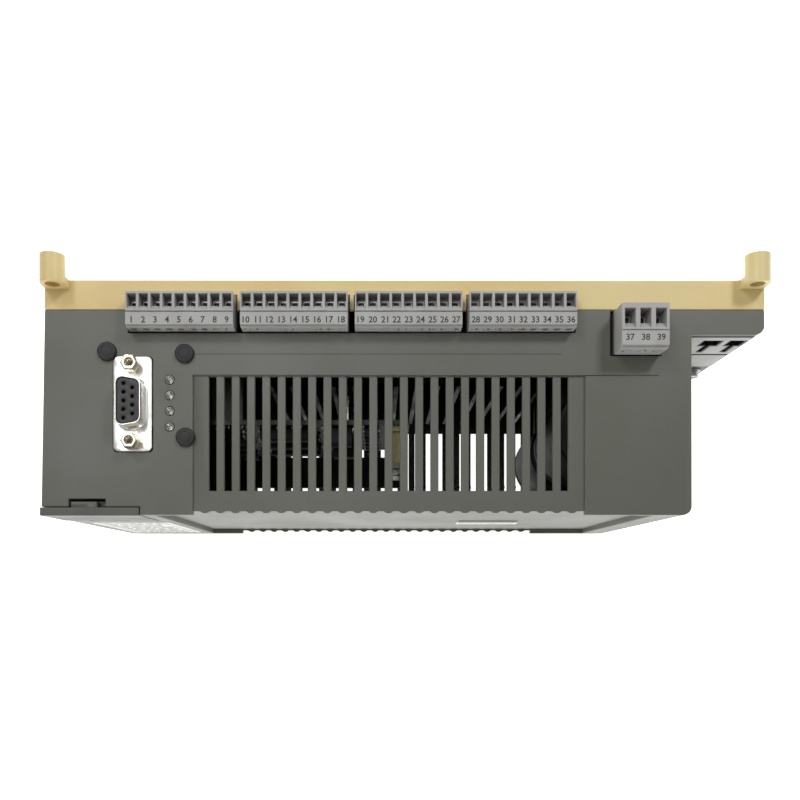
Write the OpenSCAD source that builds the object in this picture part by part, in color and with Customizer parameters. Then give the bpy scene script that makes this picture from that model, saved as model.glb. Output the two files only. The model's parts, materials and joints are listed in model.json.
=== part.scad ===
// Wall-mounted servo drive: a moulded tray with four fixing lugs, a louvred cover,
// pluggable signal terminals along the top edge and a stepped wing for the power plugs.
// +X runs along the drive, +Y points into the wall and +Z is up. The origin is the
// centre of the four fixing holes, on the wall plane.

/* [Case] */
// Width of the tray
tray_w = 234.6; // [234.6:0.2:240]
// Height of the case from bottom face to top face
case_h = 101.5; // [101.5:0.5:106]
// Distance from the wall to the front face
case_front = 82.9; // [82.9:0.1:84]
// Distance from the wall to the back of the tray
standoff = 6.4; // [5:0.1:6.6]
// Distance from the wall to the seam between tray and cover
seam = 16; // [15.9:0.1:16]
// Wall thickness of the mouldings
wall = 2.2; // [2:0.1:2.4]
// Right-hand end of the tall part of the cover
body_right = 93.6; // [93.6:0.1:94]
// Distance from the wall to the deck of the power wing
wing_front = 24.1; // [24.1:0.1:24.3]

/* [Fixing lugs] */
// Hole spacing along X
lug_dx = 226.2; // [226:0.1:226.8]
// Hole spacing along Z
lug_dz = 109.9; // [109.5:0.1:110.5]
// Diameter of the fixing holes
lug_hole_d = 4.6; // [4.3:0.1:5]
// Diameter of the lug bosses
lug_d = 7.8; // [7.6:0.1:8]

/* [Louvres] */
// Number of louvre slots in each face
slot_count = 24; // [12:1:24]
// Distance between slot centres
slot_pitch = 5; // [5:0.05:5.05]
// Width of one slot
slot_w = 2.35; // [2:0.05:2.6]
// Centre of the first slot
slot_first_x = -62.7; // [-63:0.1:-62]
// Start of the slots, from the wall
slot_near = 37.6; // [37.6:0.2:42]
// End of the slots, from the wall
slot_far = 74.9; // [70:0.5:74.9]

/* [Signal plugs] */
// Number of nine-pole plugs
plug_count = 4; // [4:1:4]
// Distance between plug centres
plug_step = 36.67; // [36.6:0.01:36.8]
// Distance between poles
pole_pitch = 3.81; // [3.5:0.01:3.81]
// Poles on each signal plug
poles = 9; // [7:1:9]
// Height of a plug above the top face
plug_proud = 5.5; // [5:0.1:6]

/* [Hidden] */
$fn = 48;
top = case_h / 2;
half_w = tray_w / 2;
left_x = -half_w;
left_front_x = left_x - 1.1;
inner_top = top - wall;
corner_r = 3;
gap = 0.2;

// The lower louvres sit this much further right than the upper ones
low_slot_shift = 1.3;

// Standoffs between the heatsink and the control board
standoff_x = -20.65;
standoff_zs = [-6, 20];
bracket_x = -61;

// Boards, as distances from the wall
main_back = 9.6;
board_t = 1.6;
main_front = main_back + board_t;
power_back = 14.4;
power_front = power_back + board_t;
control_back = 50;
tray_floor = standoff + 2.4;

// Signal plugs: the head stands above the face and the nose sits in the header
first_plug_x = -72.2;
plug_w = 34.4;
plug_near = 11.8;
plug_far = 23.1;
nose_w = 33;
nose_near = 13.1;
nose_far = 21.5;
nose_bottom = top - 10.2;
header_bottom = top - 13.2;
plug_top = top + plug_proud;

// Auxiliary three-pole plug
aux_x = 75.8;
aux_w = 15;
aux_near = 16.6;
aux_far = 30.7;
aux_top = top + 9;
aux_pitch = 4.9;
aux_nose_bottom = top - 9;

// Nine-way D connector, long axis along Y
dsub_x = -88.5;
dsub_y = -46.8;
dsub_flange_w = 12.5;
dsub_flange_l = 30.8;
jack_step = 24.99;
dsub_face = top + 0.35;
dsub_shell_h = 5.8;
board_z = top - 9.4;

// Indicator lamps and board rivets
led_x = -76.5;
led_first_y = -38.8;
led_pitch = 5.08;
rivet_places = [[-96.8, -29.7], [-71.6, -30.4], [-71.3, -57.6]];

// Access flap at the front left corner
flap_left = -118.8;
flap_right = -86.5;
flap_back = 80.4;
flap_front = 83.1;
flap_low = 26.5;
hinge_y = -81.65;
hinge_z = 28;
pin_r = 0.75;
knuckle_r = 1.45;
mid_knuckle = [-109.6, -96.4];

// Switches behind the flap
switch_xs = [-106.4, -95.4];
switch_z = 38;
switch_face = 70.4;
rotor_r = 2.9;

// Screws that hold the cover, and their bosses
screw_places = [[-108, 43], [-108, -43], [88.6, 30], [88.6, -30]];
boss_r = 3.3;

// Power headers on the wing deck; each cavity is [left side, width]
header_left = 94.6;
header_right = 114.9;
header_face = 24.5;
header_edge = inner_top - 0.1;
carrier_t = 0.6;
cavities = [[99.6, 7], [108.4, 6]];

// Bus capacitors
cap_r = 15;
cap_x = 65.8;
cap_y = -54;
cap_l = 41;

// Colours
ivory = [0.84, 0.75, 0.54];
olive = [0.4, 0.4, 0.37];
terminal_grey = [0.57, 0.57, 0.56];
dark_plastic = [0.13, 0.13, 0.13];
steel = [0.75, 0.75, 0.74];
tin = [0.88, 0.88, 0.84];
board_green = [0.1, 0.3, 0.18];

// A box given by its lowest and highest corners
module span(low, high) {
  translate(low) cube(high - low);
}

// A cylinder along Y, from y0 down to y1
module y_rod(x, z, r, y0, y1) {
  translate([x, y0, z]) rotate([90, 0, 0]) cylinder(r = r, h = y0 - y1);
}

// A cylinder along X, from x0 up to x1
module x_rod(y, z, r, x0, x1) {
  translate([x0, y, z]) rotate([0, 90, 0]) cylinder(r = r, h = x1 - x0);
}

// A cylinder along Z, from z0 up to z1
module z_rod(x, y, r, z0, z1) {
  translate([x, y, z0]) cylinder(r = r, h = z1 - z0);
}

function plug_x(i) = first_plug_x + i * plug_step;
function pole_x(i, k) = plug_x(i) + (k - (poles - 1) / 2) * pole_pitch;
function aux_pole_x(k) = aux_x + (k - 1) * aux_pitch;
function slot_x(i) = slot_first_x + i * slot_pitch;

// ---- Case ----

module lug(x, z) {
  side = z > 0 ? 1 : -1;
  half = lug_d / 2;
  y_rod(x, z, half, 0, -standoff - 2.8);
  translate([x - half, -standoff - 2.8, min(z, side * (top - 1))])
    cube([lug_d, 2.8, abs(z - side * (top - 1))]);
}

module base_tray() {
  color(ivory) difference() {
    union() {
      difference() {
        span([-half_w, -seam, -top], [half_w, -standoff, top]);
        span([-half_w + wall, -seam - 1, -inner_top], [half_w - wall, -tray_floor, inner_top]);
      }
      for (sx = [-1, 1], sz = [-1, 1]) lug(sx * lug_dx / 2, sz * lug_dz / 2);
      for (p = screw_places) y_rod(p[0], p[1], boss_r, -tray_floor + 1, -seam + 0.1);
      for (p = [[-90, 28], [-90, -34], [54, 28], [54, -40]])
        y_rod(p[0], p[1], 3, -tray_floor + 1, -main_back);
      for (p = [[66, 40], [66, -40], [108, 40], [108, -40]])
        y_rod(p[0], p[1], 3, -tray_floor + 1, -power_back);
    }
    for (sx = [-1, 1], sz = [-1, 1])
      y_rod(sx * lug_dx / 2, sz * lug_dz / 2, lug_hole_d / 2, 1, -standoff - 4);
    for (p = screw_places) {
      y_rod(p[0], p[1], 1.6, 0, -seam - 1);
      y_rod(p[0], p[1], 2.9, 0, -standoff - 2.6);
    }
    // A notch in the top rim for each signal plug
    for (i = [0:plug_count - 1])
      span([plug_x(i) - 17.7, -seam - 1, inner_top - 1], [plug_x(i) + 17.7, -main_front + 0.1, top + 1]);
    // Air slots through the floor behind the heatsink
    for (x = [-36:12:36]) span([x - 2, -tray_floor - 1, -30], [x + 2, -standoff + 1, 30]);
  }
}

// Outline of the cover in plan, set in by m on every side
module cover_outline(m) {
  r = corner_r - m;
  fx = body_right - m;
  fy = -case_front + m;
  wx = half_w - m;
  wy = -wing_front + m;
  difference() {
    polygon([[left_x + m, -seam + (m > 0 ? 1 : 0)], [left_front_x + m, fy], [fx, fy],
      [fx, wy], [wx, wy], [wx, -seam + (m > 0 ? 1 : 0)]]);
    translate([fx - r, fy - 1]) square([r + 1, r + 1]);
    translate([wx - r, wy - 1]) square([r + 1, r + 1]);
  }
  translate([fx - r, fy + r]) circle(r);
  translate([wx - r, wy + r]) circle(r);
}

// Louvre slots, and the rounded rib ends that show along the front edge
module louvres(side) {
  z0 = side > 0 ? inner_top - 1.5 : -top - 1;
  dx = side > 0 ? 0 : low_slot_shift;
  y1 = side > 0 ? -slot_near : -slot_near - 0.9;
  for (i = [0:slot_count - 1])
    span([slot_x(i) + dx - slot_w / 2, -slot_far, z0], [slot_x(i) + dx + slot_w / 2, y1, z0 + wall + 2.5]);
}

module rib_ends(side) {
  z0 = side > 0 ? top - 3.2 : -top + 0.8;
  for (i = [0:slot_count])
    z_rod(slot_x(i) - slot_pitch / 2, -case_front + 2.75, 2.1, z0, z0 + 2.4);
}

module cover() {
  recess_left = -82;
  recess_right = 82;
  recess_depth = 2;
  edge_t = 2.4;
  color(olive) difference() {
    union() {
      difference() {
        translate([0, 0, -top]) linear_extrude(case_h) cover_outline(0);
        translate([0, 0, -inner_top]) linear_extrude(2 * inner_top) cover_outline(wall);
        // Shallow central panel of the front face, and the set-back edges of the louvre panels
        span([recess_left, -case_front - 1, -top + edge_t], [recess_right, -case_front + recess_depth, top - edge_t]);
        for (s = [-1, 1])
          span([-69.05, -case_front - 1, s * top - 3], [58.8, -case_front + 1.3, s * top + 3]);
        // Sunk louvre panels, and fine step lines beside and above the upper one
        span([-69.05, -case_front - 1, top - 0.8], [58.8, -37.3, top + 1]);
        span([58.7, -37.6, top - 0.25], [82.7, -37.3, top + 1]);
        span([-69.05, -case_front - 1, -top - 1], [58.8, -37.3, -top + 0.8]);
        span([-68.2, -30.6, top - 0.15], [51, -30.35, top + 1]);
      }
      // Backing that restores the wall behind the recess
      span([recess_left - 1, -case_front + recess_depth, -inner_top - 0.5],
        [recess_right + 1, -case_front + recess_depth + wall, inner_top + 0.5]);
      rib_ends(1);
      rib_ends(-1);
      // Backing and frame behind the access flap
      span([left_front_x + 1, -flap_back + gap, 22], [flap_right + 1.5, -flap_back + gap + wall, inner_top + 0.5]);
      for (p = screw_places) y_rod(p[0], p[1], boss_r, -seam - 0.1, -seam - 14);
      // Webs that tie the screw bosses to the side walls
      span([left_x + 1, -seam - 14, 42], [-108, -seam - 0.1, 44]);
      span([left_x + 1, -seam - 14, -44], [-108, -seam - 0.1, -42]);
      // Stiffening rail across the bottom louvres
      span([-69, -63.2, -inner_top - 0.5], [59, -61.7, -inner_top + 1.2]);
    }
    louvres(1);
    louvres(-1);
    for (p = screw_places) y_rod(p[0], p[1], 1.25, -seam + 1, -seam - 12);
    // Cut-outs at the seam for the signal plugs and the auxiliary plug
    span([plug_x(0) - 17.9, -23.5, inner_top - 2], [plug_x(plug_count - 1) + 17.9, -seam + 2, top + 1]);
    span([aux_x - aux_w / 2 - 1.2, -aux_far - 0.3, inner_top - 2], [aux_x + aux_w / 2 + 0.4, -seam + 2, top + 1]);
    // Window for the D connector
    for (m = [0, 1.4]) span([dsub_x - 6.45 + m, dsub_y - 14.3 - m, inner_top - 2],
      [dsub_x + 6.6 - m, dsub_y + 14.2 + m, top + 1]);
    for (x = [dsub_x - 5.05, dsub_x + 5.2], y = [dsub_y - 14.3, dsub_y + 14.2])
      z_rod(x, y, 1.4, inner_top - 2, top + 1);
    for (k = [0:3]) z_rod(led_x, led_first_y - k * led_pitch, 1.6, inner_top - 1, top + 1);
    for (p = rivet_places) z_rod(p[0], p[1], 1.75, inner_top - 1, top + 1);
    // Seat of the access flap, its hinge trough, latch notch and window
    span([left_front_x - 1, -case_front - 1, 25.9], [flap_right + gap, -flap_back + gap, top + 1]);
    span([-109.5, -case_front - 1, inner_top - 1], [-97.5, -77.6, top + 1]);
    span([-112, -case_front - 1, 30.8], [-90, -75, 46]);
    // Openings in the deck: two for each power header, and the earth screw
    for (m = [0, 1]) mirror([0, 0, m]) {
      span([header_left - 0.2, -wing_front - 1, 29.2], [header_right + 0.2, -wing_front + 3, inner_top + 0.1]);
      span([header_left - 0.2, -wing_front - 1, 12.2], [header_right + 0.2, -wing_front + 3, 27.8]);
    }
    y_rod(110, 5.5, 2, -seam, -wing_front - 1);
  }
  // Middle hinge knuckle, carried by the flap's seat
  color(olive) difference() {
    union() {
      x_rod(hinge_y, hinge_z, knuckle_r, mid_knuckle[0], mid_knuckle[1]);
      span([mid_knuckle[0], hinge_y, hinge_z - 1.2], [mid_knuckle[1], -flap_back + gap + 0.2, hinge_z + 1.2]);
    }
    x_rod(hinge_y, hinge_z, pin_r, mid_knuckle[0] - 1, mid_knuckle[1] + 1);
  }
}

module cover_screws() {
  color(steel) for (p = screw_places) difference() {
    union() {
      y_rod(p[0], p[1], 2.6, -standoff - 0.5, -standoff - 2.5);
      y_rod(p[0], p[1], 1.2, -standoff - 2.5, -seam - 9);
    }
    for (a = [0, 90]) translate([p[0], -standoff - 0.9, p[1]]) rotate([0, a, 0])
      cube([2.6, 1.2, 0.6], center = true);
  }
}

// ---- Access flap ----

module access_flap() {
  color(olive) difference() {
    union() {
      span([flap_left, -flap_front, hinge_z], [flap_right, -flap_back, top + 0.25]);
      // Latch tab on the top edge
      span([-108.7, -flap_back - 0.5, top - 2], [-100.2, -78.5, top + 0.1]);
      for (x = [-116, -95.9]) x_rod(hinge_y, hinge_z, knuckle_r, x, x + 6);
    }
    // Room for the hinge's middle knuckle and for the knuckles to turn
    span([mid_knuckle[0] - 0.4, -flap_front - 1, hinge_z - 3], [mid_knuckle[1] + 0.4, -flap_back + 1, hinge_z + 2.3]);
    span([flap_left - 1, -flap_front - 1, hinge_z - 3], [-116, -flap_back + 1, hinge_z + 0.6]);
    x_rod(hinge_y, hinge_z, pin_r + 0.06, flap_left - 1, flap_right + 1);
    // Groove across the middle of the flap
    span([flap_left - 1, -flap_front - 1, top - 12.9], [flap_right + 1, -flap_front + 0.5, top - 12.3]);
  }
}

module flap_pin() {
  color(steel) x_rod(hinge_y, hinge_z, pin_r, -115.6, -90.3);
}

module setup_board() {
  color(board_green) span([-113, -62.6, 29], [-88.4, -61, 47]);
}

module switch_bodies() {
  color(dark_plastic) for (x = switch_xs) difference() {
    span([x - 5, -switch_face, switch_z - 5], [x + 5, -62.6, switch_z + 5]);
    y_rod(x, switch_z, rotor_r + 0.3, -switch_face + 3, -switch_face - 1);
  }
}

// Coding rotor with a screwdriver slot and a pointer notch
module rotor(x) {
  color([0.9, 0.88, 0.8]) difference() {
    y_rod(x, switch_z, rotor_r, -switch_face + 2.7, -switch_face - 0.6);
    span([x - 2.2, -switch_face - 2, switch_z - 0.4], [x + 2.2, -switch_face + 0.6, switch_z + 0.4]);
    span([x - 0.6, -switch_face - 2, switch_z + 1.6], [x + 0.6, -switch_face + 0.6, switch_z + 4]);
  }
}
module rotor_high() { rotor(switch_xs[0]); }
module rotor_low() { rotor(switch_xs[1]); }

// ---- D connector, lamps and their board ----

module interface_board() {
  color(board_green) difference() {
    span([-103.5, -76, board_z - board_t], [-67.5, -25.5, board_z]);
    for (p = rivet_places) z_rod(p[0], p[1], 1.6, board_z - 3, board_z + 1);
    span([-114, -80, board_z - 3], [-86, -60.4, board_z + 1]);
  }
}

module board_rivets() {
  color(dark_plastic) for (p = rivet_places) {
    z_rod(p[0], p[1], 3.1, top, top + 1.4);
    z_rod(p[0], p[1], 1.5, board_z - 3, top);
    z_rod(p[0], p[1], 2.1, board_z - 3.6, board_z - 2.2);
  }
}

module status_leds() {
  color([0.6, 0.6, 0.57]) for (k = [0:3]) {
    translate([led_x, led_first_y - k * led_pitch, top - 0.2]) sphere(r = 1.45);
    z_rod(led_x, led_first_y - k * led_pitch, 1.45, top - 4.2, top - 0.2);
    z_rod(led_x, led_first_y - k * led_pitch, 1.7, top - 5, top - 4);
    for (s = [-1, 1]) z_rod(led_x, led_first_y - k * led_pitch + s * 1.27, 0.28, board_z, top - 4.5);
  }
}

// Outline of the D shell, grown by g; its long side faces -X
module d_outline(g) {
  polygon([[-3.7 - g, -7.9 - g], [-3.7 - g, 7.9 + g], [3.7 + g, 6.6 + g], [3.7 + g, -6.6 - g]]);
}

module dsub_flange() {
  color(tin) difference() {
    union() {
      for (m = [0, 1.5]) span([dsub_x - dsub_flange_w / 2 + m, dsub_y - dsub_flange_l / 2 + 1.5 - m, dsub_face - 0.8],
        [dsub_x + dsub_flange_w / 2 - m, dsub_y + dsub_flange_l / 2 - 1.5 + m, dsub_face]);
      for (sx = [-1, 1], sy = [-1, 1])
        z_rod(dsub_x + sx * (dsub_flange_w / 2 - 1.5), dsub_y + sy * (dsub_flange_l / 2 - 1.5), 1.5,
          dsub_face - 0.8, dsub_face);
      translate([dsub_x, dsub_y, dsub_face - 0.4]) linear_extrude(dsub_shell_h + 0.4) d_outline(0.4);
      translate([dsub_x, dsub_y, dsub_face - 5]) linear_extrude(4.5) d_outline(0.8);
    }
    translate([dsub_x, dsub_y, dsub_face - 6]) linear_extrude(20) d_outline(0);
    for (s = [-1, 1]) z_rod(dsub_x, dsub_y + s * jack_step / 2, 1.55, top - 3, top + 2);
  }
}

module dsub_insulator() {
  color(dark_plastic) difference() {
    translate([dsub_x, dsub_y, board_z + 0.6]) linear_extrude(dsub_face + dsub_shell_h - 0.5 - board_z - 0.6)
      d_outline(-0.02);
    for (k = [0:4]) z_rod(dsub_x - 1.42, dsub_y + (k - 2) * 2.77, 0.75, board_z, dsub_face + 7);
    for (k = [0:3]) z_rod(dsub_x + 1.42, dsub_y + (k - 1.5) * 2.77, 0.75, board_z, dsub_face + 7);
  }
}

module dsub_contact(x, y) {
  difference() {
    z_rod(x, y, 0.72, board_z, dsub_face + 4.2);
    z_rod(x, y, 0.5, dsub_face - 1, dsub_face + 6);
  }
}

module dsub_contacts() {
  color([0.8, 0.65, 0.3]) {
    for (k = [0:4]) dsub_contact(dsub_x - 1.42, dsub_y + (k - 2) * 2.77);
    for (k = [0:3]) dsub_contact(dsub_x + 1.42, dsub_y + (k - 1.5) * 2.77);
  }
}

module jackscrews() {
  color(steel) for (s = [-1, 1]) difference() {
    union() {
      z_rod(dsub_x, dsub_y + s * jack_step / 2, 1.5, board_z, dsub_face);
      translate([dsub_x, dsub_y + s * jack_step / 2, dsub_face]) cylinder(d = 5.5, h = 4.8, $fn = 6);
    }
    z_rod(dsub_x, dsub_y + s * jack_step / 2, 1.25, dsub_face - 1.2, dsub_face + 6);
  }
}

// ---- Signal terminals ----

module main_board() {
  color(board_green) difference() {
    span([-112, -main_front, -47], [60, -main_back, 47]);
    for (p = screw_places) y_rod(p[0], p[1], boss_r + 0.6, 0, -20);
  }
}

module signal_header(i) {
  color(terminal_grey) difference() {
    span([plug_x(i) - 17.4, -23, header_bottom], [plug_x(i) + 17.4, -main_front, top - 0.4]);
    span([plug_x(i) - nose_w / 2 - 0.3, -nose_far - 0.3, header_bottom + 2.4],
      [plug_x(i) + nose_w / 2 + 0.3, -nose_near + 0.3, top + 1]);
    for (k = [0:poles - 1])
      span([pole_x(i, k) - 0.42, -17.72, header_bottom - 1], [pole_x(i, k) + 0.42, -16.88, header_bottom + 3]);
  }
}
module signal_header_1() { signal_header(0); }
module signal_header_2() { signal_header(1); }
module signal_header_3() { signal_header(2); }
module signal_header_4() { signal_header(3); }

module header_pins() {
  color(tin) for (i = [0:plug_count - 1], k = [0:poles - 1]) {
    span([pole_x(i, k) - 0.4, -17.7, header_bottom - 1.6], [pole_x(i, k) + 0.4, -16.9, top - 4]);
    span([pole_x(i, k) - 0.4, -17.7, header_bottom - 2.4], [pole_x(i, k) + 0.4, -main_front, header_bottom - 1.6]);
  }
}

// Ramp that leads a wire into its entry, from y0 at its deepest to y1 at the face
module wire_funnel(x, half, y0, y1, z) {
  depth = y0 - y1;
  translate([x - half, 0, 0]) rotate([90, 0, 90]) linear_extrude(2 * half)
    polygon([[y0 + 0.5, z + 0.5], [y0 + 0.5, z - depth], [y0, z - depth], [y1, z], [y1, z + 0.5]]);
}

// Nine-pole screw plug: wire entries and a number strip on top, screws towards the front
module signal_plug(i) {
  color(terminal_grey) difference() {
    union() {
      span([plug_x(i) - plug_w / 2, -plug_far, top - 0.05], [plug_x(i) + plug_w / 2, -plug_near, plug_top]);
      span([plug_x(i) - nose_w / 2, -nose_far, nose_bottom], [plug_x(i) + nose_w / 2, -nose_near, top]);
    }
    span([plug_x(i) - 20, -18.45, plug_top - 0.5], [plug_x(i) + 20, -18.1, plug_top + 1]);
    span([plug_x(i) - 20, -plug_far - 1, plug_top - 0.9], [plug_x(i) + 20, -plug_far + 0.7, plug_top + 1]);
    for (k = [0:poles - 1]) {
      span([pole_x(i, k) - 1.45, -16.2, top + 0.5], [pole_x(i, k) + 1.45, -12.5, plug_top + 1]);
      span([pole_x(i, k) - 1.45, -16.2, top - 3.5], [pole_x(i, k) + 1.45, -13.7, top + 0.6]);
      span([pole_x(i, k) - 0.6, -17.9, nose_bottom - 1], [pole_x(i, k) + 0.6, -16.1, top - 2]);
      y_rod(pole_x(i, k), top + 2.2, 1.15, -plug_far + 3.6, -plug_far - 1);
      y_rod(pole_x(i, k), top + 2.2, 0.75, -16, -plug_far);
      wire_funnel(pole_x(i, k), 1.45, -16.1, -17.4, plug_top);
    }
  }
}
module signal_plug_1() { signal_plug(0); }
module signal_plug_2() { signal_plug(1); }
module signal_plug_3() { signal_plug(2); }
module signal_plug_4() { signal_plug(3); }

// Rising cages that grip the wires, seen down the entries
module plug_clamps(i) {
  color(steel) for (k = [0:poles - 1]) difference() {
    span([pole_x(i, k) - 1.35, -16.1, top - 3.4], [pole_x(i, k) + 1.35, -13.8, top + 1.2]);
    span([pole_x(i, k) - 0.95, -15.7, top - 2.4], [pole_x(i, k) + 0.95, -14.2, top + 2]);
  }
}
module plug_clamps_1() { plug_clamps(0); }
module plug_clamps_2() { plug_clamps(1); }
module plug_clamps_3() { plug_clamps(2); }
module plug_clamps_4() { plug_clamps(3); }

module plug_screws(i) {
  color(steel) for (k = [0:poles - 1]) difference() {
    union() {
      y_rod(pole_x(i, k), top + 2.2, 1.05, -plug_far + 3.5, -plug_far + 1.2);
      y_rod(pole_x(i, k), top + 2.2, 0.65, -16.1, -plug_far + 3);
    }
    span([pole_x(i, k) - 2, -plug_far, top + 2], [pole_x(i, k) + 2, -plug_far + 1.7, top + 2.4]);
  }
}
module plug_screws_1() { plug_screws(0); }
module plug_screws_2() { plug_screws(1); }
module plug_screws_3() { plug_screws(2); }
module plug_screws_4() { plug_screws(3); }

// ---- Auxiliary terminal ----

module aux_header() {
  color(terminal_grey) difference() {
    span([aux_x - aux_w / 2, -aux_far + 0.3, top - 13], [aux_x + aux_w / 2, -power_front, top - 0.4]);
    span([aux_x - 6.8, -28.9, top - 10.6], [aux_x + 6.8, -18.1, top + 1]);
    for (k = [0:2])
      span([aux_pole_x(k) - 0.52, -24.32, top - 14], [aux_pole_x(k) + 0.52, -23.28, top - 10]);
  }
}

module aux_pins() {
  color(tin) for (k = [0:2]) {
    span([aux_pole_x(k) - 0.5, -24.3, top - 14.6], [aux_pole_x(k) + 0.5, -23.3, top - 3]);
    span([aux_pole_x(k) - 0.5, -24.3, top - 15.6], [aux_pole_x(k) + 0.5, -power_front, top - 14.6]);
  }
}

module aux_plug() {
  color(terminal_grey) difference() {
    union() {
      span([aux_x - aux_w / 2, -aux_far, top - 0.05], [aux_x + aux_w / 2, -aux_near, aux_top]);
      span([aux_x - 6.5, -28.6, aux_nose_bottom], [aux_x + 6.5, -18.4, top]);
    }
    // Stepped front: the number strip is a little lower than the wire entries
    span([aux_x - 9, -25.5, aux_top - 0.4], [aux_x + 9, -25.1, aux_top + 1]);
    span([aux_x - 9, -aux_far - 1, aux_top - 1.1], [aux_x + 9, -29.9, aux_top + 1]);
    for (k = [0:2]) {
      span([aux_pole_x(k) - 1.7, -22.5, top + 0.5], [aux_pole_x(k) + 1.7, -18.3, aux_top + 1]);
      span([aux_pole_x(k) - 1.7, -22.5, top - 2.5], [aux_pole_x(k) + 1.7, -19, top + 0.6]);
      span([aux_pole_x(k) - 0.7, -24.5, aux_nose_bottom - 1], [aux_pole_x(k) + 0.7, -22.4, top - 0.5]);
      y_rod(aux_pole_x(k), top + 4.6, 1.6, -aux_far + 5, -aux_far - 1);
      y_rod(aux_pole_x(k), top + 4.6, 0.9, -22, -aux_far);
      wire_funnel(aux_pole_x(k), 1.7, -22.4, -24.6, aux_top);
    }
  }
}

module aux_clamps() {
  color(steel) for (k = [0:2]) difference() {
    span([aux_pole_x(k) - 1.6, -22.4, top - 2.4], [aux_pole_x(k) + 1.6, -19.1, top + 3]);
    span([aux_pole_x(k) - 1.15, -21.9, top - 1.2], [aux_pole_x(k) + 1.15, -19.6, top + 6]);
  }
}

module aux_screws() {
  color(steel) for (k = [0:2]) difference() {
    union() {
      y_rod(aux_pole_x(k), top + 4.6, 1.5, -aux_far + 4.9, -aux_far + 1.6);
      y_rod(aux_pole_x(k), top + 4.6, 0.8, -22.4, -aux_far + 4);
    }
    span([aux_pole_x(k) - 2, -aux_far, top + 4.35], [aux_pole_x(k) + 2, -aux_far + 2.2, top + 4.85]);
  }
}

// ---- Power section ----

module power_board() {
  color(board_green) difference() {
    span([62, -power_front, -46], [115, -power_back, 46]);
    for (p = screw_places) y_rod(p[0], p[1], boss_r + 0.5, 0, -20);
  }
}

// Keyed T-shaped cavity of a power header, set in by m on every side
module keyed_cavity(c, m, y0, y1) {
  mid = c[0] + c[1] / 2;
  span([c[0] + m, y1, 38.7 + m], [c[0] + c[1] - m, y0, 45.3 - m]);
  span([mid - 1.2 + m, y1, 31.2 + m], [mid + 1.2 - m, y0, 38.8 + m]);
}

// Header for an unfitted power plug; side is +1 for the upper one, -1 for the lower one
module power_header(side) {
  color(terminal_grey) mirror([0, 0, side > 0 ? 0 : 1]) difference() {
    union() {
      span([header_left, -header_face, 29.4], [header_right, -power_front, header_edge]);
      span([header_left, -header_face, 12.4], [header_right, -power_front, 27.6]);
      span([header_left, -20, 12.4], [header_right, -power_front, header_edge]);
    }
    for (c = cavities) keyed_cavity(c, 0, -power_front - 1, -header_face - 1);
    // Plain pocket for the plug's locking bar
    span([96, -header_face - 1, 13.6], [100.5, -19, 18.2]);
  }
}
module motor_header() { power_header(1); }
module supply_header() { power_header(-1); }

// Black contact carriers that line the keyed cavities
module contact_carriers() {
  color(dark_plastic) for (m = [0, 1], c = cavities) mirror([0, 0, m]) difference() {
    keyed_cavity(c, 0.05, -power_front - 1.05, -header_face + 0.15);
    keyed_cavity(c, carrier_t, -power_front - 2, -header_face - 1);
  }
}

module power_pins() {
  color(tin) for (s = [-1, 1], c = cavities)
    y_rod(c[0] + c[1] / 2, s * 41.5, 0.6, -power_front - 2, -header_face + 2);
}

module earth_screw() {
  color(steel) difference() {
    union() {
      y_rod(110, 5.5, 1.75, -power_front, -wing_front - 2);
      y_rod(110, 5.5, 3.8, -wing_front, -wing_front - 0.6);
      y_rod(110, 5.5, 2.8, -wing_front - 0.6, -wing_front - 2.8);
    }
    span([106, -wing_front - 4, 5.1], [114, -wing_front - 2, 5.9]);
  }
}

module bus_capacitors() {
  color([0.12, 0.14, 0.2]) for (z = [-44, 3]) {
    z_rod(cap_x, cap_y, cap_r, z + 1.5, z + cap_l - 1.5);
    z_rod(cap_x, cap_y, cap_r - 1, z, z + cap_l);
  }
}

module capacitor_cradle() {
  color(dark_plastic) for (z = [-38, -12, 9, 30]) difference() {
    span([cap_x - 12, cap_y + 2, z - 2], [cap_x + 12, -power_front, z + 2]);
    z_rod(cap_x, cap_y, cap_r + 0.05, z - 3, z + 3);
    span([cap_x - 6, -34, z - 3], [cap_x + 6, -21, z + 3]);
  }
}

module brake_relay() {
  color([0.85, 0.5, 0.2]) span([-92, -27, -26], [-78, -main_front, 2]);
}

// ---- Power stage and control board ----

module heatsink() {
  color([0.7, 0.7, 0.7]) {
    difference() {
      union() {
        span([-47, -18, -34], [50, -14, 34]);
        for (x = [-47:7.3:50]) span([x, -37, -34], [x + 1.6, -17.9, 34]);
        for (sx = [-44, 44], sz = [-29, 29]) y_rod(sx, sz, 3, -main_front, -14.5);
      }
      for (z = standoff_zs) y_rod(standoff_x, z, 1.2, -13, -19);
    }
  }
}

module power_module() {
  color(dark_plastic) difference() {
    span([-32, -14, -16], [32, -main_front, 16]);
    for (s = [-1, 1]) y_rod(s * 27, 0, 2.2, -10, -15);
  }
}

module control_board() {
  color(board_green) difference() {
    span([-66, -control_back - board_t, -42], [2, -control_back, 41]);
    // The board narrows to a strip below the power stage
    span([-52, -control_back - 3, -43], [3, -control_back + 1, -12]);
    for (z = standoff_zs) y_rod(standoff_x, z, 1.3, -49, -53);
    for (z = [-29, 29]) y_rod(bracket_x, z, 1.3, -49, -53);
  }
}

module logic_chips() {
  front = -control_back - board_t;
  color(dark_plastic) {
    for (z = [-20:12:16]) span([-64, front - 3.2, z], [-57, front, z + 8]);
    for (z = [0:16:32]) span([-50, front - 4, z - 3.5], [-30, front, z + 3.5]);
    for (z = [7, 34]) span([-26, front - 6, z - 4], [-17, front, z + 4]);
    for (z = [-8:8:32]) span([-14, front - 2.4, z], [-8, front, z + 4.5]);
  }
}

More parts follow.
